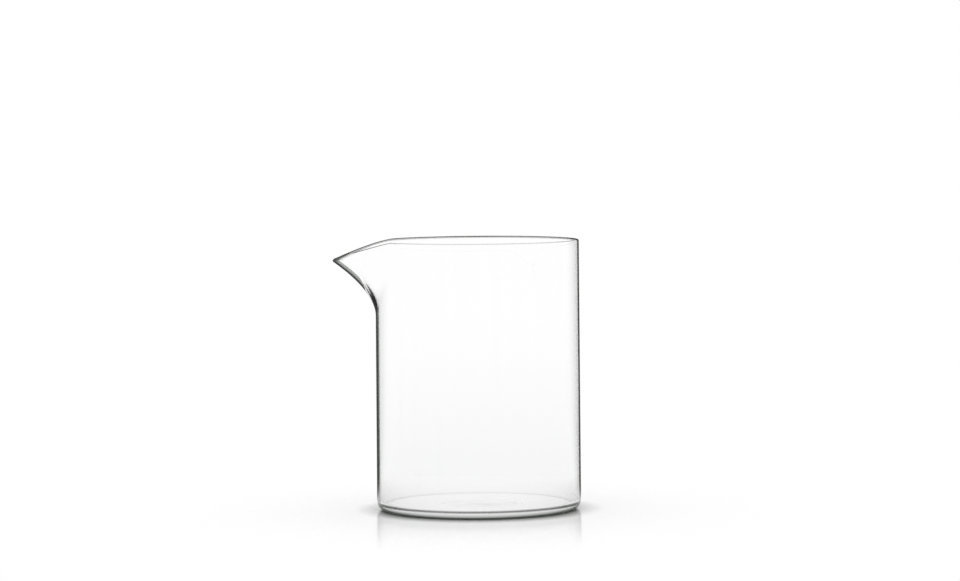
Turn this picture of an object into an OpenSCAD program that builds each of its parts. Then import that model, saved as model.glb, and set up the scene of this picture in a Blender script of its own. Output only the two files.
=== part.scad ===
// Cocktail pitcher: one piece of thin blown glass with a spout pulled from its wall.
// Millimetres, +Z up. The origin is on the body's axis, in the plane that it stands on.
// The spout points along -X.

/* [Body] */
// Outside diameter of the body
body_diameter = 90; // [70:1:120]
// Height of the rim above the table
body_height = 118.5; // [90:0.5:160]
// Thickness of the wall
wall_thickness = 1.2; // [0.8:0.1:2]
// Thickness of the bottom
bottom_thickness = 2.2; // [1.5:0.1:4]
// Rounding of the outside edge of the bottom
heel_radius = 4; // [3:0.5:8]
// Rounding between the floor and the inside of the wall
floor_radius = 2.8; // [1:0.2:6]

/* [Hollow under the bottom] */
// Diameter of the shallow hollow that keeps the bottom from rocking
hollow_diameter = 40; // [20:1:56]
// Height of the hollow at its middle
hollow_height = 0.5; // [0.3:0.1:1]

/* [Spout] */
// How far the tip stands out past the body
spout_reach = 19; // [8:0.5:25]
// How far the tip lies below the rim
spout_drop = 8; // [2:0.5:14]
// How far below the rim the pull begins
spout_depth = 33; // [22:0.5:45]
// Width between the places where the spout's edges leave the rim's circle
spout_width = 56; // [36:1:64]
// Radius of the tip, seen from above
tip_radius = 2.6; // [2:0.1:5]
// How much thicker the wall is along the ridge under the tip, on the inside
ridge_extra = 0.8; // [0:0.1:1.2]

/* [Hidden] */
// Share of the pull's depth that is left at the spout's sides
side_depth_share = 0.3;
// Degrees by which the ridge under the tip grows blunter, from the lip down to the root
root_blunting = 12;
// How the pull grows from its root up to the lip
pull_power = 1.8;
// How the edges sweep from the rim's circle to the tip
sweep_power = 2;
// How the lip sinks towards the tip, against how it is pulled out
drop_power = 0.98;
// How the ridge's extra thickness fades towards the sides, and how it grows from the root
ridge_power = 3;
ridge_growth = 2;
// Share of the wall by which the spout's skin is set back where it runs into the wall
seat_share = 0.016;
// Share of the spout's depth that runs on inside the wall, below the pull
root_overlap_share = 0.04;
// Degrees that the spout runs on inside the wall, past each side
side_overlap = 1.2;
// Smallest steps that give the skin's slope: degrees round the body, and share of its height
slope_angle = 0.02;
slope_share = 0.001;
// Stations on each side of the spout, rows up its skin and steps round its lip
side_stations = 22;
skin_rows = 20;
lip_steps = 6;
// How the stations crowd towards the tip, and the rows towards the lip
station_power = 1.5;
row_power = 0.75;
body_fn = 180;
hollow_fn = 256;

body_radius = body_diameter / 2;
inside_radius = body_radius - wall_thickness;
middle_radius = body_radius - wall_thickness / 2;
rim_radius = wall_thickness / 2;
hollow_radius = hollow_diameter / 2;
hollow_ball = (hollow_radius ^ 2 + hollow_height ^ 2) / (2 * hollow_height);
skin_half = rim_radius - seat_share * wall_thickness;
spout_angle = asin(spout_width / 2 / body_radius);
spout_root = body_height - spout_depth;
window_angle = spout_angle + side_overlap / 2;
window_bottom = spout_root - root_overlap_share / 2 * spout_depth;
tip_distance = body_radius + spout_reach;
// Degrees over which the tip is rounded, so that its radius comes out as named
tip_curve = 1 / tip_radius - 1 / tip_distance;
tip_turn = spout_reach * sweep_power / (tip_curve * tip_distance ^ 2);
tip_angle = tip_turn * (180 / PI) ^ 2 / spout_angle;

// Degrees from the middle of the spout, with the crease there rounded off
function blunted(a, nose) = sqrt(a ^ 2 + nose ^ 2) - nose;

// Pull as a share of the most at its height, this many degrees from the middle of the spout
function sweep(a, nose) =
    max(0, 1 - blunted(a, nose) / blunted(spout_angle, nose)) ^ sweep_power;

// Height of the middle of the lip
function lip_height(a) =
    body_height - rim_radius - spout_drop * sweep(a, tip_angle) ^ drop_power;

// Height where the pull begins: deepest under the tip, and shallow at the spout's sides
function root_height(a) =
    let (inward = max(0, 1 - (a / spout_angle) ^ 2))
    body_height - spout_depth * (side_depth_share + (1 - side_depth_share) * inward);

// Height of the skin, share being 0 at the spout's root and 1 at the lip
function skin_height(a, share) = spout_root + (lip_height(a) - spout_root) * share;

// How far up the pull that is: 0 where the pull begins and 1 at the lip
function rise(a, share) =
    max(0, (skin_height(a, share) - root_height(a)) / (lip_height(a) - root_height(a)));

// How the pull at this share falls off round the body, 1 under the tip
function spread(a, share) = sweep(a, tip_angle + root_blunting * (1 - share));

// A point in the middle of the wall
function middle(a, share) =
    let (r = middle_radius + spout_reach * spread(a, share) * rise(a, share) ^ pull_power)
    [-r * cos(a), r * sin(a), skin_height(a, share)];

// From the middle of the wall to its inside
function inner_half(a, share) =
    let (grown = 1 - (1 - rise(a, share)) ^ ridge_growth)
    skin_half + ridge_extra * spread(a, share) ^ ridge_power * grown;

function unit(v) = v / norm(v);

// Direction along a line of the skin that runs round the body
function across(a, share) =
    unit(middle(a + slope_angle, share) - middle(a - slope_angle, share));

// Direction up the skin
function up(a, share) =
    unit(middle(a, share + slope_share) - middle(a, share - slope_share));

// Outward normal of the skin
function outward(a, share) = unit(cross(up(a, share), across(a, share)));

// One closed section through the wall: up the outside, round the lip, down the inside
function section(a) =
    let (
        rises = [for (i = [0:skin_rows]) (i / skin_rows) ^ row_power],
        rows = concat([-root_overlap_share], rises),
        out = outward(a, 1),
        over = cross(across(a, 1), out),
        in_half = inner_half(a, 1)
    )
    concat(
        [for (s = rows) middle(a, s) + skin_half * outward(a, s)],
        [for (i = [1:lip_steps - 1]) let (turn = 180 * i / lip_steps)
            middle(a, 1) + (turn < 90 ? skin_half : in_half) * cos(turn) * out
            + skin_half * sin(turn) * over],
        [for (i = [skin_rows + 1:-1:0])
            middle(a, rows[i]) - inner_half(a, rows[i]) * outward(a, rows[i])]
    );

// The body as turned: floor, rounded heel, straight wall and half-round rim
module turned_body() {
    rotate_extrude($fn = body_fn) difference() {
        union() {
            square([body_radius - heel_radius, body_height / 2]);
            translate([0, heel_radius])
                square([body_radius, body_height - rim_radius - heel_radius]);
            translate([body_radius - heel_radius, heel_radius]) circle(heel_radius);
            translate([middle_radius, body_height - rim_radius]) circle(rim_radius);
        }
        translate([0, bottom_thickness + floor_radius])
            square([inside_radius, body_height]);
        translate([0, bottom_thickness])
            square([inside_radius - floor_radius, body_height]);
        translate([inside_radius - floor_radius, bottom_thickness + floor_radius])
            circle(floor_radius);
        translate([0, hollow_height - hollow_ball]) circle(hollow_ball, $fn = hollow_fn);
    }
}

// The stretch of wall that the spout takes the place of
module spout_window() {
    translate([0, 0, window_bottom])
        rotate([0, 0, 180 - window_angle])
        rotate_extrude(angle = 2 * window_angle, $fn = body_fn)
        translate([inside_radius - wall_thickness, 0])
        square([3 * wall_thickness, 2 * spout_depth]);
}

// The wall drawn out into the spout, as one closed skin
module pulled_spout() {
    turns = [for (i = [-side_stations:side_stations])
        spout_angle * sign(i) * abs(i / side_stations) ^ station_power];
    run_in = spout_angle + side_overlap;
    angles = concat([-run_in], turns, [run_in]);
    sections = [for (a = angles) section(a)];
    n = len(sections[0]);
    last = len(angles) - 1;
    sides = [for (j = [0:last - 1], i = [0:n - 1])
        let (a = j * n + i, b = j * n + (i + 1) % n, c = b + n, d = a + n)
        each [[a, c, b], [a, d, c]]];
    bands = [for (i = [0:skin_rows]) [i, i + 1, n - 2 - i, n - 1 - i]];
    end = concat(bands, [[for (i = [skin_rows + 1:n - 2 - skin_rows]) i]]);
    ends = concat(
        end,
        [for (f = end) [for (k = [len(f) - 1:-1:0]) last * n + f[k]]]
    );
    polyhedron([for (s = sections) each s], concat(sides, ends));
}

module glass_pitcher() {
    color([0.86, 0.92, 0.9, 0.4]) union() {
        difference() {
            turned_body();
            spout_window();
        }
        pulled_spout();
    }
}

glass_pitcher();
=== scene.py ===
"""Dresses the glass pitcher: one closed skin of clear glass, on a plain glossy white floor."""

import math

import bpy
import numpy as np
from mathutils import Matrix, Vector


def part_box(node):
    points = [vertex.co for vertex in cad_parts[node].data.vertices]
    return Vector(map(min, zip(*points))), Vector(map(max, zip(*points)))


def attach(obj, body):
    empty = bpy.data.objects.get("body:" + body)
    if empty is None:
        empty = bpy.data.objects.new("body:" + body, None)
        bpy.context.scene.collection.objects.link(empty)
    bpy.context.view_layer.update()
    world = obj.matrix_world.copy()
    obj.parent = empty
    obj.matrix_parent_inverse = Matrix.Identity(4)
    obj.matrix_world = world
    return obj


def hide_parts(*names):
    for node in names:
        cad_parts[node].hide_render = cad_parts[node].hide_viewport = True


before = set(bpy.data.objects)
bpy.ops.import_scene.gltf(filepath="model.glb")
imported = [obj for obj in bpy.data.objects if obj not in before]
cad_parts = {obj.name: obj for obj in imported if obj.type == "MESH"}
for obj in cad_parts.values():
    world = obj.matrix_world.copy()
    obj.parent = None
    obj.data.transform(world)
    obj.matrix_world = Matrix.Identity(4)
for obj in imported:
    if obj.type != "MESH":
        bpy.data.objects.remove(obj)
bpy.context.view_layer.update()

bl_info = {
    "name": "Glass Pitcher",
    "version": (1, 0, 0),
    "blender": (4, 5, 0),
    "location": "3D View > Sidebar > Pitcher",
    "description": "Makes a thin glass pitcher with a pulled spout, and the stage it stands on",
    "category": "Object",
}

MM = 0.001
LOW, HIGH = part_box("glass_pitcher")

# What the skin's mesh stores for its material: the depth of the painted dark edge times the
# curvature, the core's share of that depth, and the painted shade, the share of light that the
# glass's colour keeps back in place of light that the glass turns away
BEND = "bend"
CORE = "core"
PAINTED_SHADE = "painted_shade"

# The photograph: its frame, the places read off it, and the pitcher's plain body in pixels
FRAME_WIDTH_PX = 960
FRAME_HEIGHT_PX = 581
AXIS_X_PX = 477.4
FLOOR_Y_PX = 507.8
HORIZON_Y_PX = 310.9
BODY_WIDTH_PX = 203.3
FOCAL_PX = 1727.0
ROLL_DEGREES = -0.47
SENSOR_MM = 36.0

# The noise of the cords in the glass: its squeeze along the height, so that they run up the wall,
# its lumps side by side in a metre, its fine detail, and the values between which it darkens
CORD_SQUEEZE = (1.0, 1.0, 0.08)
CORD_SCALE = 180.0
CORD_DETAIL = 2.0
CORD_SPAN = (0.35, 0.75)

# The fine detail of the waves in the glass
WAVE_DETAIL = 1.0

# The noise of the mottle in the floor's gloss, its lumps side by side in a metre and fine detail
MOTTLE_SCALE = 60.0
MOTTLE_DETAIL = 3.0
NOISE_MIDDLE = 0.5

# Rays for each point of the contact shadow
SHADOW_SAMPLES = 6

# Small allowances that keep each division from being one by nothing
OVER_ONE = 1.0001
LEAST_BEND = 0.0001
LEAST_COSINE = 0.05
NUDGE = 1e-9


def length(name, text, default):
    """One size in metres, shown in the scene's units."""
    return bpy.props.FloatProperty(
        name=name, description=text, default=default, min=0.0, precision=5, unit="LENGTH"
    )


def amount(name, text, default):
    """One plain number."""
    return bpy.props.FloatProperty(name=name, description=text, default=default, precision=4)


def tone(name, text, default):
    """One colour."""
    return bpy.props.FloatVectorProperty(
        name=name, description=text, default=default, min=0.0, max=1.0, subtype="COLOR"
    )


class PitcherSizes(bpy.types.PropertyGroup):
    """The pitcher's sizes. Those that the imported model's box gives are read from it."""

    radius: length("Radius", "Outside radius of the straight body", HIGH.x)
    height: length("Height", "Height of the rim above the table", HIGH.z)
    wall: length("Wall", "Thickness of the wall", 1.2 * MM)
    bottom: length("Bottom", "Thickness of the bottom", 2.2 * MM)
    heel: length("Heel", "Rounding of the outside edge of the bottom", 4 * MM)
    fillet: length("Fillet", "Rounding between the floor and the inside of the wall", 2.8 * MM)
    hollow_radius: length("Hollow radius", "Radius of the hollow under the bottom", 20 * MM)
    hollow_height: length("Hollow height", "Height of that hollow at its middle", 0.5 * MM)
    reach: length("Spout reach", "How far the tip stands out past the body", -LOW.x - HIGH.x)
    drop: length("Spout drop", "How far the tip lies below the rim", 8 * MM)
    depth: length("Spout depth", "How far below the rim the pull begins", 33 * MM)
    width: length("Spout width", "Width between the ends of the spout's edges", 56 * MM)
    tip_radius: length("Tip radius", "Radius of the tip, seen from above", 2.6 * MM)
    ridge: length("Ridge", "How much thicker the wall is along the ridge under the tip", 0.8 * MM)


class GlassLooks(bpy.types.PropertyGroup):
    """The glass as a material."""

    ior: amount("Refraction", "Index of refraction of the glass", 1.47)
    colour: tone("Colour", "Colour of the glass high up, seen straight on", (1.0, 1.0, 1.0))
    low_colour: tone("Low colour", "Colour of the glass low down", (0.955, 0.96, 0.956))
    low_top: length("Low top", "Height above which the glass is at its clearest", 85 * MM)
    clear_heights: bpy.props.FloatVectorProperty(
        name="Clear heights",
        description="Heights between which the low colour sets in, going up",
        size=2,
        default=(4 * MM, 20 * MM),
        precision=5,
        unit="LENGTH",
    )
    cords: amount("Cords", "Share by which faint cords in the glass darken it", 0.006)
    wave_size: length("Wave size", "Distance between the waves in the glass", 22 * MM)
    wave_height: length("Wave height", "Height of the waves in the glass", 0.03 * MM)
    # The dark edge here and below is painted shade, in place of the light that the wall turns back
    band_colour: tone("Band", "Colour of the dark edge's inner side", (0.13, 0.14, 0.125))
    edge_colour: tone("Edge", "Colour of the dark edge's outer side", (0.0015, 0.0022, 0.0012))
    band_begins: amount("Band begins", "Share of the edge over which its inner side sets in", 0.12)
    core_ends: amount("Core ends", "Share of the outer side over which it sets in", 0.2)
    core_depth: length("Core depth", "Depth of the outer side, or core, at most", 0.9 * MM)
    ridge_edge: length("Ridge edge", "How much deeper the edge is on the spout's ridge", 4.4 * MM)
    ridge_core: length("Ridge core", "How much deeper its core is there", 1.3 * MM)
    root_fade: amount("Root fade", "Share of the edge that is lost at the spout's root", 1.0)
    uneven: amount("Uneven", "Share by which the edge is deeper on the spout's side", 0.28)
    rim_edge: length("Rim edge", "Depth of the dark edge on the outside of the rim", 0.6 * MM)
    inner_rim_edge: length("Inner rim edge", "The same, on the rim's inside", 0.1 * MM)
    lip_core: amount("Lip core", "Share of the rim's edge that is core", 0.95)
    # Painted shade along the rim, in place of the light that the rim bends away
    rim_painted_shade: amount("Rim smoke", "Share of the light that the rim's outside keeps back", 0.72)
    inner_rim_painted_shade: amount("Inner rim smoke", "The same, on the rim's inside", 0.35)
    rim_line: length("Rim line", "Height of the smoke below the rim", 0.15 * MM)
    lip_line: length("Lip line", "How much higher it is at the spout's tip", 0.85 * MM)
    heel_edge: length("Heel edge", "Depth of the dark edge along the heel", 0.9 * MM)
    heel_core: amount("Heel core", "Share of the heel's edge that is core", 0.4)
    # Painted shade on the heel, in place of the light that the heel turns away
    heel_painted_shade: amount("Heel smoke", "Share of the light kept back where the heel begins", 0.87)
    heel_top: length("Heel top", "Height up to which the heel keeps light back", 3.2 * MM)
    # Faint painted shade on the rounding inside, in place of light that it turns away
    fillet_painted_shade: amount("Fillet smoke", "The same share, for the rounding inside", 0.07)
    # A painted dark line round the heel, where the rounding inside begins to turn light back
    line_painted_shade: amount("Line smoke", "The same share, for the line round the heel", 0.95)
    line_height: length("Line height", "Height of that line", 3.25 * MM)
    line_width: length("Line width", "Half the height that the line takes up", 0.85 * MM)
    tint: tone("Tint", "Colour that light keeps on its way through the glass", (0.80, 0.87, 0.82))
    tint_density: amount("Tint density", "Absorption for each metre of glass", 6.0)


class StageLooks(bpy.types.PropertyGroup):
    """The floor and the light tent."""

    floor_radius: length("Floor radius", "Radius of the round floor", 40.0)
    floor_depth: length("Floor depth", "Thickness of the floor", 10 * MM)
    sweep_begins: length("Sweep begins", "Distance at which the floor turns into the tent", 0.06)
    sweep_ends: length("Sweep ends", "Distance beyond which the floor is all tent", 0.15)
    floor_colour: tone("Floor", "Colour of the floor", (1.0, 1.0, 1.0))
    floor_lift: amount("Floor lift", "Share of the tent's white in the floor by the pitcher", 0.3)
    glass_lift: amount("Glass lift", "The same, for the floor seen through the glass", 0.98)
    # Painted contact shadow: the floor's colour darkens where the glass is near
    shadow_reach: length("Shadow reach", "How near glass has to be to shade the floor", 11 * MM)
    shadow_colour: tone("Shadow", "Colour of the floor at its darkest", (0.13, 0.138, 0.125))
    shadow_strength: amount("Shadow strength", "Power that deepens the floor's shadow", 2.2)
    mottle: amount("Mottle", "How much the gloss's blur varies over the floor", 0.25)
    gloss_blur: amount("Gloss blur", "Roughness of the floor's gloss", 0.14)
    gloss_ior: amount("Gloss refraction", "Index of refraction of the floor's gloss", 1.45)
    tent_colour: tone("Tent", "Colour of the light tent", (1.0, 1.0, 1.0))
    mirrored_colour: tone("Mirrored", "What glass mirrors of the dark board", (0.1, 0.105, 0.1))
    board_begins: amount("Board begins", "Turn backwards where the board begins, as a sine", 0.45)
    board_ends: amount("Board ends", "The same, where the board is darkest", 0.8)


class Shade:
    """A node socket on which Python's operators build Math nodes."""

    def __init__(self, tree, socket):
        self.tree = tree
        self.socket = socket

    def math(self, operation, *values):
        """A Math node on this value and these, each a number or a Shade."""
        return self.tree.make("Math", {"operation": operation}, self, *values).out()

    def __add__(self, other):
        return self.math("ADD", other)

    def __sub__(self, other):
        return self.math("SUBTRACT", other)

    def __rsub__(self, other):
        return self * -1.0 + other

    def __mul__(self, other):
        return self.math("MULTIPLY", other)

    def __truediv__(self, other):
        return self.math("DIVIDE", other)

    def __rtruediv__(self, other):
        return self.math("POWER", -1.0) * other

    def __lt__(self, other):
        return self.math("LESS_THAN", other)

    __radd__ = __add__
    __rmul__ = __mul__

    def root(self):
        """The square root."""
        return self.math("SQRT")

    def least(self, other):
        """The smaller of the two."""
        return self.math("MINIMUM", other)

    def most(self, other):
        """The larger of the two."""
        return self.math("MAXIMUM", other)


class Made:
    """A node that was just made, with its outputs as Shades."""

    def __init__(self, tree, node):
        self.tree = tree
        self.node = node

    def out(self, name=0):
        """The output of this name or place."""
        return Shade(self.tree, self.node.outputs[name])


class Tree:
    """The nodes of one material or world, emptied and ready to be filled."""

    def __init__(self, owner):
        owner.use_nodes = True
        self.nodes = owner.node_tree.nodes
        self.links = owner.node_tree.links
        self.nodes.clear()

    def fill(self, socket, value):
        """Links a Shade to a socket, or sets the socket to a plain value."""
        if isinstance(value, Shade):
            self.links.new(value.socket, socket)
        else:
            socket.default_value = value

    def make(self, kind, settings=None, *values, **named):
        """A node of this type, its settings set first, then its sockets by place or by name."""
        node = self.nodes.new("ShaderNode" + kind)
        for key, value in (settings or {}).items():
            setattr(node, key, value)
        for key, value in [*enumerate(values), *named.items()]:
            self.fill(node.inputs[key if isinstance(key, int) else key.replace("_", " ")], value)
        return Made(self, node)

    def stored(self, name, output="Fac"):
        """An attribute of the mesh."""
        return self.make("Attribute", {"attribute_name": name}).out(output)

    def parts(self, vector):
        """A vector's three numbers."""
        split = self.make("SeparateXYZ", None, vector)
        return [split.out(name) for name in "XYZ"]

    def noise(self, place, scale, detail):
        """Smooth noise about 0.5 at a place, with this many lumps side by side in a metre."""
        return self.make("TexNoise", None, Vector=place, Scale=scale, Detail=detail).out()

    def step(self, value, low, high):
        """A smooth step of a value, from 0 at low to 1 at high."""
        settings = {"interpolation_type": "SMOOTHSTEP"}
        return self.make("MapRange", settings, value, From_Min=low, From_Max=high).out()

    def mix(self, factor, first, second):
        """A colour between first and second."""
        made = self.make("Mix", {"data_type": "RGBA"})
        for name, value in (("Factor_Float", factor), ("A_Color", first), ("B_Color", second)):
            self.fill(next(s for s in made.node.inputs if s.identifier == name), value)
        return Shade(self, next(s for s in made.node.outputs if s.identifier == "Result_Color"))


def opaque(colour):
    """A colour with an alpha of 1."""
    return (*colour, 1.0)


def edge_depths(tree):
    """How far into the painted dark edge a crossing lies, and how far into its core: 1 at the
    outline, 0 where each begins, and less nearer the middle. The dark edge is painted shade in the
    glass's colour, in place of the light that the wall turns back. Last comes the share of light
    that the painted shade keeps back, which grows with the slant as a thin film's would:
    1 - (1 - shade) ** (1 / cosine). All three are for light that enters the glass. At a blend of
    0.5, Facing is 1 - cosine.

    Light that meets a convex surface at a sine above 1 - wall * curvature is turned back by the
    far face of the wall. The curvature is that in the plane in which a level ray turns, at an
    angle to the level tangent whose squared sine is tilt: level * (1 - tilt) + steep * tilt
    + 2 * mixed * sqrt(tilt * (1 - tilt))."""
    cosine = 1 - tree.make("LayerWeight", Blend=0.5).out("Facing")
    squared = cosine * cosine
    sine = (1 - squared).root()
    tall = tree.parts(tree.make("NewGeometry").out("Normal"))[2]
    upright = OVER_ONE - tall * tall
    tilt = (tall * tall * squared / (upright * (OVER_ONE - squared))).least(1.0)
    level, steep, mixed = tree.parts(tree.stored(BEND, "Vector"))
    both = level + (steep - level) * tilt + 2.0 * mixed * (tilt * (1 - tilt)).root()
    entering = 1 - tree.make("NewGeometry").out("Backfacing")
    bend = both * entering
    core_bend = bend * tree.stored(CORE)
    depth, core_depth = (
        (sine + turned - 1.0) / turned.most(LEAST_BEND) for turned in (bend, core_bend)
    )
    # The painted shade that the mesh stores, for light that enters the glass
    clear = 1 - tree.stored(PAINTED_SHADE) * entering
    return depth, core_depth, 1 - clear.math("POWER", 1 / cosine.most(LEAST_COSINE))


def cords(tree, place):
    """Faint upright cords: a smooth step of noise on Object coordinates that are squeezed along
    the height."""
    drawn = tree.make("VectorMath", {"operation": "MULTIPLY"}, place, CORD_SQUEEZE).out()
    return tree.step(tree.noise(drawn, CORD_SCALE, CORD_DETAIL), *CORD_SPAN)


def clear_glass(looks):
    """Clear glass with a painted dark line where its wall is seen edge on (painted shade in place
    of the light that the wall turns back), the faint upright cords and slow waves of drawn glass,
    and a little more colour low down."""
    material = bpy.data.materials.new("clear_glass")
    tree = Tree(material)
    depth, core_depth, painted_shade = edge_depths(tree)
    # Painted shade: the dark edge's band and core, and the painted shade that the mesh stores
    band = tree.step(depth, 0.0, looks.band_begins)
    core = tree.step(core_depth, 0.0, looks.core_ends).most(painted_shade)
    place = tree.make("TexCoord").out("Object")
    height = tree.parts(place)[2]
    low = (1 - tree.step(height, 0.0, looks.low_top)) * tree.step(height, *looks.clear_heights)
    clear = tree.mix(low, opaque(looks.colour), opaque(looks.low_colour))
    corded = tree.mix(cords(tree, place) * looks.cords, clear, opaque((0, 0, 0)))
    banded = tree.mix(band, corded, opaque(looks.band_colour))
    waves = tree.noise(place, 1 / looks.wave_size, WAVE_DETAIL)
    wavy = tree.make("Bump", None, Strength=1.0, Distance=looks.wave_height, Height=waves)
    surface = tree.make(
        "BsdfPrincipled",
        Base_Color=tree.mix(core, banded, opaque(looks.edge_colour)),
        Roughness=0.0,
        IOR=looks.ior,
        Transmission_Weight=1.0,
        Normal=wavy.out(),
    )
    volume = tree.make("VolumeAbsorption", Color=opaque(looks.tint), Density=looks.tint_density)
    tree.make("OutputMaterial", Surface=surface.out(), Volume=volume.out())
    return material


def before_glass(path):
    """1 for light that no glass has let through yet, 0 for all else."""
    return path.out("Transmission Depth") < 0.5


def mirrored(tree):
    """1 for what the glass mirrors straight off its outside, 0 for all else."""
    path = tree.make("LightPath")
    return path.out("Is Singular Ray") * path.out("Is Reflection Ray") * before_glass(path)


def tent_light(tree, looks, place, shaded=0.0):
    """The light tent's colour at a place in it: white, and dark for what the glass mirrors
    straight off itself at a slant, because a dark board stands behind it to each side of the
    view. What the glass mirrors of the shaded floor is dark too."""
    ahead = tree.make("VectorMath", {"operation": "NORMALIZE"}, place).out()
    board = tree.step(tree.parts(ahead)[1], looks.board_begins, looks.board_ends)
    dark = mirrored(tree) * board.most(shaded)
    return tree.mix(dark, opaque(looks.tent_colour), opaque(looks.mirrored_colour))


def glossy_floor(looks):
    """White lacquered board: a matt white body under a thin, slightly blurred gloss, with a
    painted contact shadow where the glass stands close above it. Away from the pitcher it runs up
    into the light tent, whose light it then shows."""
    material = bpy.data.materials.new("glossy_floor")
    tree = Tree(material)
    place = tree.make("TexCoord").out("Object")
    mottle = tree.noise(place, MOTTLE_SCALE, MOTTLE_DETAIL) - NOISE_MIDDLE
    # Painted contact shadow in the floor's colour, from how much the glass closes off the sky
    near = tree.make("AmbientOcclusion", {"samples": SHADOW_SAMPLES}, Distance=looks.shadow_reach)
    lit = near.out("AO").math("POWER", looks.shadow_strength)
    board = tree.make(
        "BsdfPrincipled",
        Base_Color=tree.mix(lit, opaque(looks.shadow_colour), opaque(looks.floor_colour)),
        Roughness=looks.gloss_blur * (1 + mottle * looks.mottle),
        IOR=looks.gloss_ior,
    )
    tent = tree.make("Emission", Color=tent_light(tree, looks, place, 1 - lit), Strength=1.0)
    distance = tree.make("VectorMath", {"operation": "LENGTH"}, place).out("Value")
    far = tree.step(distance, looks.sweep_begins, looks.sweep_ends)
    path = tree.make("LightPath")
    lift = path.out("Is Camera Ray") * lit * looks.floor_lift
    through = (1 - before_glass(path)) * looks.glass_lift
    white = 1 - (1 - far) * (1 - lift) * (1 - through)
    shown = tree.make("MixShader", None, white.most(mirrored(tree)), board.out(), tent.out())
    tree.make("OutputMaterial", Surface=shown.out())
    return material


def unit(vectors):
    """The same directions, each of length 1."""
    return vectors / np.linalg.norm(vectors, axis=-1, keepdims=True)


def dot(first, second):
    """The dot products of two arrays of vectors."""
    return (first * second).sum(-1)


def ramp(value, low, high):
    """0 up to low, 1 from high on, and a straight rise between them."""
    return np.clip((value - low) / (high - low), 0, 1)


def between(start, end, steps):
    """Even steps from start to end, without either of them."""
    return np.linspace(start, end, steps + 1)[1:-1]


def around(angle, radius, z):
    """Points at a radius and a height, turned by an angle in degrees from -X towards +Y."""
    turn = np.radians(angle)
    return np.stack(
        np.broadcast_arrays(-radius * np.cos(turn), radius * np.sin(turn), z), axis=-1
    )


def arc(centre_r, centre_z, radius, start, end, steps):
    """Radii and heights of a round stretch of the profile, between two angles in degrees."""
    turn = np.radians(np.linspace(start, end, steps + 1))
    return centre_r + radius * np.cos(turn), centre_z + radius * np.sin(turn)


class Spout:
    """The wall's middle surface where the spout is pulled from it. Angles are in degrees from its
    tip.

    At an angle a and a share s of the way from the root's height up to the lip, the surface
    stands at radius = middle + reach * spread(a, s) * rise ** pull_power, where spread falls from
    1 at the tip to 0 at the spout's sides, and rise runs from 0 where the pull begins to 1 at the
    lip."""

    # Share of the pull's depth that is left at the spout's sides
    side_depth_share = 0.3
    # Degrees by which the ridge under the tip grows blunter, from the lip down to the root
    root_blunting = 12.0
    # How the pull grows from its root up to the lip
    pull_power = 1.8
    # How the edges sweep from the rim's circle to the tip
    sweep_power = 2.0
    # How the lip sinks towards the tip, against how it is pulled out
    drop_power = 0.98
    # How the ridge's extra thickness fades towards the sides, and how it grows from the root
    ridge_power = 3.0
    ridge_growth = 2.0
    # Small steps that give the surface's directions: degrees, and share of the way up
    step_angle = 0.02
    step_share = 0.001

    def __init__(self, sizes):
        """Sets the degrees over which the tip is rounded, so that its radius is as named."""
        self.sizes = sizes
        self.middle = sizes.radius - sizes.wall / 2
        self.root = sizes.height - sizes.depth
        self.side = math.degrees(math.asin(sizes.width / 2 / sizes.radius))
        distance = sizes.radius + sizes.reach
        curve = 1 / sizes.tip_radius - 1 / distance
        turn = sizes.reach * self.sweep_power / (curve * distance**2)
        self.tip = math.degrees(math.degrees(turn)) / self.side

    def sweep(self, angle, nose):
        """(1 - blunted(a) / blunted(side)) ** power, where blunted(a) is
        sqrt(a * a + nose * nose) - nose."""
        blunted = np.sqrt(angle**2 + nose**2) - nose
        end = np.sqrt(self.side**2 + nose**2) - nose
        return np.maximum(0, 1 - blunted / end) ** self.sweep_power

    def spread(self, angle, share):
        """The sweep at this share, which grows blunter from the lip down to the root."""
        return self.sweep(angle, self.tip + self.root_blunting * (1 - share))

    def heights(self, angle, share):
        """The height at this share, and the rise there."""
        sizes = self.sizes
        drop = sizes.drop * self.sweep(angle, self.tip) ** self.drop_power
        lip = sizes.height - sizes.wall / 2 - drop
        inward = np.maximum(0, 1 - (angle / self.side) ** 2)
        deep = self.side_depth_share + (1 - self.side_depth_share) * inward
        begin = sizes.height - sizes.depth * deep
        z = self.root + (lip - self.root) * share
        return z, np.clip((z - begin) / (lip - begin), 0, None)

    def point(self, angle, share):
        """The middle surface at these angles and shares, as an array of points."""
        z, rise = self.heights(angle, share)
        pull = self.spread(angle, share) * rise**self.pull_power
        return around(angle, self.middle + self.sizes.reach * pull, z)

    def inner_half(self, angle, share):
        """From the middle surface to the wall's inside, more along the ridge under the tip."""
        grown = 1 - (1 - self.heights(angle, share)[1]) ** self.ridge_growth
        fades = self.spread(angle, share) ** self.ridge_power
        return self.sizes.wall / 2 + self.sizes.ridge * fades * grown

    def directions(self, angle, share):
        """Unit directions along the lip and out of the wall, from small steps on the surface."""
        right = self.point(angle + self.step_angle, share)
        along = unit(right - self.point(angle - self.step_angle, share))
        above = self.point(angle, share + self.step_share)
        up = unit(above - self.point(angle, share - self.step_share))
        return along, unit(np.cross(up, along))


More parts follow.
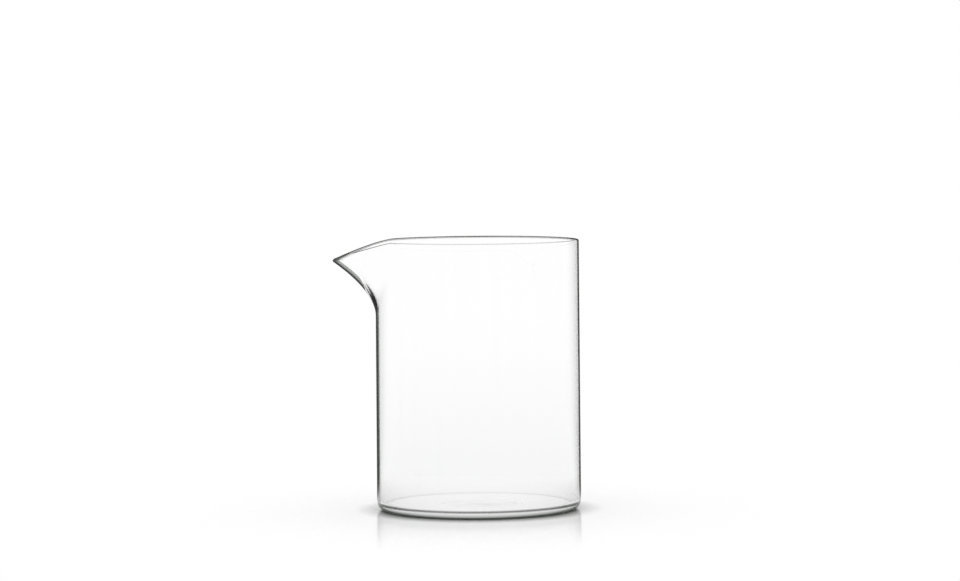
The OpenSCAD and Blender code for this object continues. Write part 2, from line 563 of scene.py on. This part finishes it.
class Skin:
    """The glass's whole surface as rows of points, from the underside's middle up the outside,
    over the lip and down the inside to the floor's middle.

    Each point also has four numbers: how deep the painted dark edge is for light that turns round
    the body, and for light that turns over its slope; the core's share of that depth; and the
    painted shade, which is the share of light that the glass's colour keeps back there."""

    # Steps round the spout and round the rest of the body
    spout_steps = 140
    body_steps = 160
    # Steps along each stretch of the profile
    hollow_steps = 24
    plain_steps = 7
    heel_steps = 45
    pulled_steps = 56
    lip_steps = 12
    fillet_steps = 17
    floor_steps = 15
    # How the columns crowd towards the tip, and the rows towards the lip
    column_power = 1.4
    row_power = 0.75
    # Share of the hollow's radius up to which its roof is level
    hollow_level = 5 / 6
    # How the heel's painted shade thins out upwards
    heel_power = 1.5
    # The pull's rise over which the ridge's deep edge sets in
    ridge_rise = (0.45, 0.65)
    # The pull's rise and spread over which the edge's fading at the root sets in
    fade_rise = (0.0, 0.03)
    fade_spread = (0.0, 0.4)
    # Where the rim's painted shade thins out below it, in heights of its line
    line_fade = (0.3, 1.3)
    # Cosine of the turn over the lip at which its outside ends
    lip_outside = -0.1

    def __init__(self, sizes, looks):
        self.sizes = sizes
        self.looks = looks
        self.spout = Spout(sizes)
        self.angle = self.angles()
        self.inner_radius = sizes.radius - sizes.wall
        self.plain_core = looks.core_depth / sizes.wall
        self.plain_edge = sizes.wall * (1 + looks.uneven * np.cos(np.radians(self.angle)))
        self.blocks = []

    def angles(self):
        """The columns' angles: side * share ** power to each side of the spout's tip, and even
        round the rest of the body."""
        side = self.spout.side
        share = np.linspace(-1, 1, self.spout_steps + 1)
        pulled = side * np.sign(share) * np.abs(share) ** self.column_power
        return np.concatenate([pulled, between(side, 360 - side, self.body_steps)])[None, :]

    def add(self, points, level, steep, core, painted_shade=0.0):
        """One block of rows, each with its four numbers."""
        shape = points.shape[:2]
        numbers = [np.broadcast_to(value, shape) for value in (level, steep, core, painted_shade)]
        self.blocks.append((points, np.stack(numbers, axis=-1)))

    def turned(self, radii, heights, steep=0.0, core=None, painted_shade=0.0):
        """Rows of the plain body of revolution."""
        radii, heights = np.broadcast_arrays(radii, heights)
        points = around(self.angle, radii[:, None], heights[:, None])
        core = self.plain_core if core is None else core
        self.add(points, self.plain_edge, steep, core, np.reshape(painted_shade, (-1, 1)))

    def underside(self):
        """The hollow and the flat ring round it. The hollow's roof stands at height
        * (1 - (3 - 2 * fall) * fall ** 2), where fall goes from 0 to 1 over its outer sixth."""
        sizes = self.sizes
        share = np.sqrt(np.linspace(0, 1, self.hollow_steps + 1)[1:])
        fall = ramp(share, self.hollow_level, 1)
        roof = sizes.hollow_height * (1 - fall * fall * (3 - 2 * fall))
        self.turned(share * sizes.hollow_radius, roof)
        ring = between(sizes.hollow_radius, sizes.radius - sizes.heel, self.plain_steps)
        self.turned(ring, 0.0)

    def outside(self):
        """The heel, a quarter circle, and the straight wall above it. The heel's painted shade, in
        place of the light that the heel turns away, is the larger of the heel's share * (1 -
        (height / top)
        ** power) and, about the line's height, the line's share * (1 - (distance / width) ** 2)."""
        sizes, looks = self.sizes, self.looks
        centre = sizes.radius - sizes.heel
        radii, heights = arc(centre, sizes.heel, sizes.heel, -90, 0, self.heel_steps)
        # Painted shade: thinning out up the heel, and a dark line about the line's height
        low = looks.heel_painted_shade * (1 - ramp(heights, 0, looks.heel_top) ** self.heel_power)
        line = 1 - np.clip((heights - looks.line_height) / looks.line_width, -1, 1) ** 2
        painted_shade = np.maximum(low, looks.line_painted_shade * line)
        self.turned(radii, heights, looks.heel_edge, looks.heel_core, painted_shade)
        self.turned(sizes.radius, between(sizes.heel, self.spout.root, self.plain_steps))

    def pulled_edge(self, rise, spread):
        """The depth of the dark edge on the outside of the pulled stretch, and its core's share.
        The edge is lost at the spout's root and grows deeper along its ridge."""
        looks = self.looks
        strong = ramp(rise, *self.ridge_rise)
        ridge = spread**self.spout.ridge_power * strong
        root = ramp(spread, *self.fade_spread) * ramp(rise, *self.fade_rise) * (1 - strong)
        edge = self.plain_edge * (1 - looks.root_fade * root) + looks.ridge_edge * ridge
        core_edge = looks.core_depth + looks.ridge_core * ridge
        return edge, core_edge / np.maximum(edge, core_edge / self.plain_core)

    def pulled(self):
        """The stretch that the spout is pulled from, with the rim all round: half the wall to the
        outside of its middle surface along that surface's normal, over a half-round lip, and the
        spout's inner half to the inside."""
        sizes, looks, spout, angle = self.sizes, self.looks, self.spout, self.angle
        half = sizes.wall / 2
        share = (np.linspace(0, 1, self.pulled_steps + 1) ** self.row_power)[:, None]
        middle = spout.point(angle, share)
        along, outward = spout.directions(angle, share)
        inner = spout.inner_half(angle, share)

        rise, spread = spout.heights(angle, share)[1], spout.spread(angle, share)
        edge, core = self.pulled_edge(rise, spread)
        # Painted shade just below the rim, thinning out downwards
        line = looks.rim_line + looks.lip_line * spread
        below = (middle[-1, :, 2] - middle[..., 2]) / line
        painted_shade = looks.rim_painted_shade * (1 - ramp(below, *self.line_fade))
        self.add(middle + half * outward, edge, edge, core, painted_shade)

        turn = np.radians(between(0, 180, self.lip_steps))[:, None]
        over = np.cross(along[-1], outward[-1])
        across = np.where(np.cos(turn) > 0, half, inner[-1]) * np.cos(turn)
        lip = middle[-1] + across[..., None] * outward[-1] + half * np.sin(turn)[..., None] * over
        # The rim's painted shade, outside and in
        outer = np.cos(turn) > self.lip_outside
        rim_edge = np.where(outer, looks.rim_edge, looks.inner_rim_edge)
        rim_painted_shade = np.where(outer, looks.rim_painted_shade, looks.inner_rim_painted_shade)
        self.add(lip, edge[-1], rim_edge, looks.lip_core, rim_painted_shade)

        self.add((middle - inner[..., None] * outward)[::-1], 0.0, 0.0, self.plain_core)

    def inside(self):
        """The straight wall inside, the quarter circle at its foot, and the floor."""
        sizes = self.sizes
        edge = self.inner_radius - sizes.fillet
        foot = sizes.bottom + sizes.fillet
        self.turned(self.inner_radius, between(self.spout.root, foot, self.plain_steps))
        radii, heights = arc(edge, foot, sizes.fillet, 0, -90, self.fillet_steps)
        # Faint painted shade on the rounding at the wall's foot
        self.turned(radii, heights, painted_shade=self.looks.fillet_painted_shade)
        self.turned(between(edge, 0, self.floor_steps), sizes.bottom)

    def grid(self):
        """All rows, and the four numbers of each of their points."""
        self.underside()
        self.outside()
        self.pulled()
        self.inside()
        return (np.concatenate(parts) for parts in zip(*self.blocks))


def bends(rows, depths):
    """For each point of the grid: the depth of the dark edge times the skin's outward curvature,
    along the level tangent, along the one down the slope, and the size of the mixed one between
    them.

    With p and n the point and its normal, u and v the grid's directions, and a and b a tangent in
    them, the step is a dp/du + b dp/dv, the turn is a dn/du + b dn/dv, and step . turn is the
    curvature."""

    def changes(values):
        """Changes along the row and along the column."""
        return (np.roll(values, -1, 1) - np.roll(values, 1, 1)) / 2, np.gradient(values, axis=0)

    along, up = changes(rows)
    normal = unit(np.cross(up, along))
    turn_along, turn_up = changes(normal)
    level = unit(np.cross((0, 0, 1), normal) + NUDGE)
    square = dot(along, along) * dot(up, up) - dot(along, up) ** 2
    steps, turns = [], []
    for tangent in (level, np.cross(normal, level)):
        s, t = dot(tangent, along), dot(tangent, up)
        a = ((s * dot(up, up) - t * dot(along, up)) / square)[..., None]
        b = ((t * dot(along, along) - s * dot(along, up)) / square)[..., None]
        steps.append(a * along + b * up)
        turns.append(a * turn_along + b * turn_up)
    own = [depths[..., i] * dot(steps[i], turns[i]) for i in range(2)]
    mean = np.sqrt(np.abs(depths[..., 0] * depths[..., 1]))
    mixed = mean * np.abs(dot(steps[0], turns[1]))
    return np.clip(np.stack([*own, mixed], axis=-1), -1, 1)


def skin_object(name, rows, start, end):
    """A closed mesh from a grid that goes round and comes back, with a point at each end."""
    count, columns = rows.shape[:2]
    points = np.concatenate([rows.reshape(-1, 3), [start, end]])
    index = np.arange(count * columns).reshape(count, columns)
    after = np.roll(index, -1, axis=1)
    quads = np.stack([index[:-1], index[1:], after[1:], after[:-1]], axis=-1).reshape(-1, 4)
    first, last = count * columns, count * columns + 1
    lower = np.stack([np.full(columns, first), index[0], after[0]], axis=-1)
    upper = np.stack([np.full(columns, last), after[-1], index[-1]], axis=-1)
    mesh = bpy.data.meshes.new(name)
    mesh.from_pydata(points.tolist(), [], [*quads.tolist(), *lower.tolist(), *upper.tolist()])
    mesh.polygons.foreach_set("use_smooth", np.ones(len(mesh.polygons), bool))
    mesh.update()
    piece = bpy.data.objects.new(name, mesh)
    bpy.context.scene.collection.objects.link(piece)
    return piece


def store(mesh, name, kind, key, values):
    """Keeps the grid's values as an attribute of its mesh, with 0 at the point at each end."""
    ends = np.zeros(2 * values[0, 0].size)
    layer = mesh.attributes.new(name, kind, "POINT")
    layer.data.foreach_set(key, np.append(values.ravel(), ends))


class PITCHER_OT_glass(bpy.types.Operator):
    """Makes the pitcher's one piece of glass"""

    bl_idname = "pitcher.glass"
    bl_label = "Glass pitcher"

    def execute(self, context):
        sizes = context.scene.pitcher_sizes
        looks = context.scene.pitcher_glass
        rows, numbers = Skin(sizes, looks).grid()
        start, end = (0, 0, sizes.hollow_height), (0, 0, sizes.bottom)
        piece = skin_object("pitcher_skin", rows, start, end)
        store(piece.data, BEND, "FLOAT_VECTOR", "vector", bends(rows, numbers[..., :2]))
        store(piece.data, CORE, "FLOAT", "value", numbers[..., 2])
        store(piece.data, PAINTED_SHADE, "FLOAT", "value", numbers[..., 3])
        piece.data.materials.append(clear_glass(looks))
        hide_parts("glass_pitcher")
        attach(piece, "root")
        return {"FINISHED"}


class PITCHER_OT_stage(bpy.types.Operator):
    """Makes the floor, the light tent and the camera"""

    bl_idname = "pitcher.stage"
    bl_label = "Stage"

    # How far the glass beds into the floor's lacquer, so that light gets from one to the other
    # without an air gap
    bed = 0.02 * MM
    # The floor's rings of points as shares of its radius, and its steps round
    rings = (0.25, 0.5, 1.0)
    steps = 96
    # Distance from the camera at which it begins to see
    nearest_view = 10 * MM

    def execute(self, context):
        looks = context.scene.pitcher_stage
        self.floor(looks)
        self.tent(context.scene, looks)
        self.camera(context.scene)
        context.scene.view_settings.view_transform = "Standard"
        return {"FINISHED"}

    def floor(self, looks):
        """A round board: rings from the underside's middle out to its edge, and back over it."""
        angle = np.linspace(0, 360, self.steps + 1)[None, :-1]
        radii = np.array(self.rings)[:, None] * looks.floor_radius
        under = around(angle, radii, -looks.floor_depth)
        top = around(angle, radii[::-1], self.bed)
        rows = np.concatenate([under, top])
        board = skin_object("floor", rows, (0, 0, -looks.floor_depth), (0, 0, self.bed))
        board.data.materials.append(glossy_floor(looks))

    def tent(self, scene, looks):
        """White light from all round."""
        world = bpy.data.worlds.new("light_tent")
        tree = Tree(world)
        place = tree.make("TexCoord").out("Generated")
        light = tree.make("Background", Color=tent_light(tree, looks, place), Strength=1.0)
        tree.make("OutputWorld", Surface=light.out())
        scene.world = world

    def camera(self, scene):
        """Stands where the photograph was taken from, worked out from the body's width in it."""
        px = 2 * HIGH.x / BODY_WIDTH_PX
        middle_x = (FRAME_WIDTH_PX / 2 - AXIS_X_PX) * px
        middle_z = (FLOOR_Y_PX - FRAME_HEIGHT_PX / 2) * px
        eye = Vector((0.0, -FOCAL_PX * px, (FLOOR_Y_PX - HORIZON_Y_PX) * px))
        aim = Vector((middle_x, 0.0, middle_z))
        lens = bpy.data.cameras.new("camera")
        lens.sensor_width = SENSOR_MM
        lens.lens = FOCAL_PX / FRAME_WIDTH_PX * SENSOR_MM
        lens.clip_start = self.nearest_view
        camera = bpy.data.objects.new("camera", lens)
        roll = Matrix.Rotation(math.radians(ROLL_DEGREES), 4, "Z")
        turn = (aim - eye).to_track_quat("-Z", "Y").to_matrix().to_4x4()
        camera.matrix_world = Matrix.Translation(eye) @ turn @ roll
        scene.collection.objects.link(camera)
        scene.camera = camera


GROUPS = {"pitcher_sizes": PitcherSizes, "pitcher_glass": GlassLooks, "pitcher_stage": StageLooks}
OPERATORS = (PITCHER_OT_glass, PITCHER_OT_stage)


class PITCHER_PT_panel(bpy.types.Panel):
    """Lists the pitcher's sizes, looks and operators"""

    bl_idname = "PITCHER_PT_panel"
    bl_label = "Glass Pitcher"
    bl_space_type = "VIEW_3D"
    bl_region_type = "UI"
    bl_category = "Pitcher"

    def draw(self, context):
        for owner, group in GROUPS.items():
            box = self.layout.box()
            for name in group.__annotations__:
                box.prop(getattr(context.scene, owner), name)
        for operator in OPERATORS:
            self.layout.operator(operator.bl_idname)


CLASSES = (*GROUPS.values(), *OPERATORS, PITCHER_PT_panel)


def register():
    """Registers the classes and hangs the property groups on the scene."""
    for kind in CLASSES:
        bpy.utils.register_class(kind)
    for name, group in GROUPS.items():
        setattr(bpy.types.Scene, name, bpy.props.PointerProperty(type=group))


def unregister():
    """Takes them off again."""
    for name in GROUPS:
        delattr(bpy.types.Scene, name)
    for kind in reversed(CLASSES):
        bpy.utils.unregister_class(kind)


def main():
    """Makes the whole scene."""
    register()
    bpy.ops.pitcher.glass()
    bpy.ops.pitcher.stage()


if __name__ == "__main__":
    main()
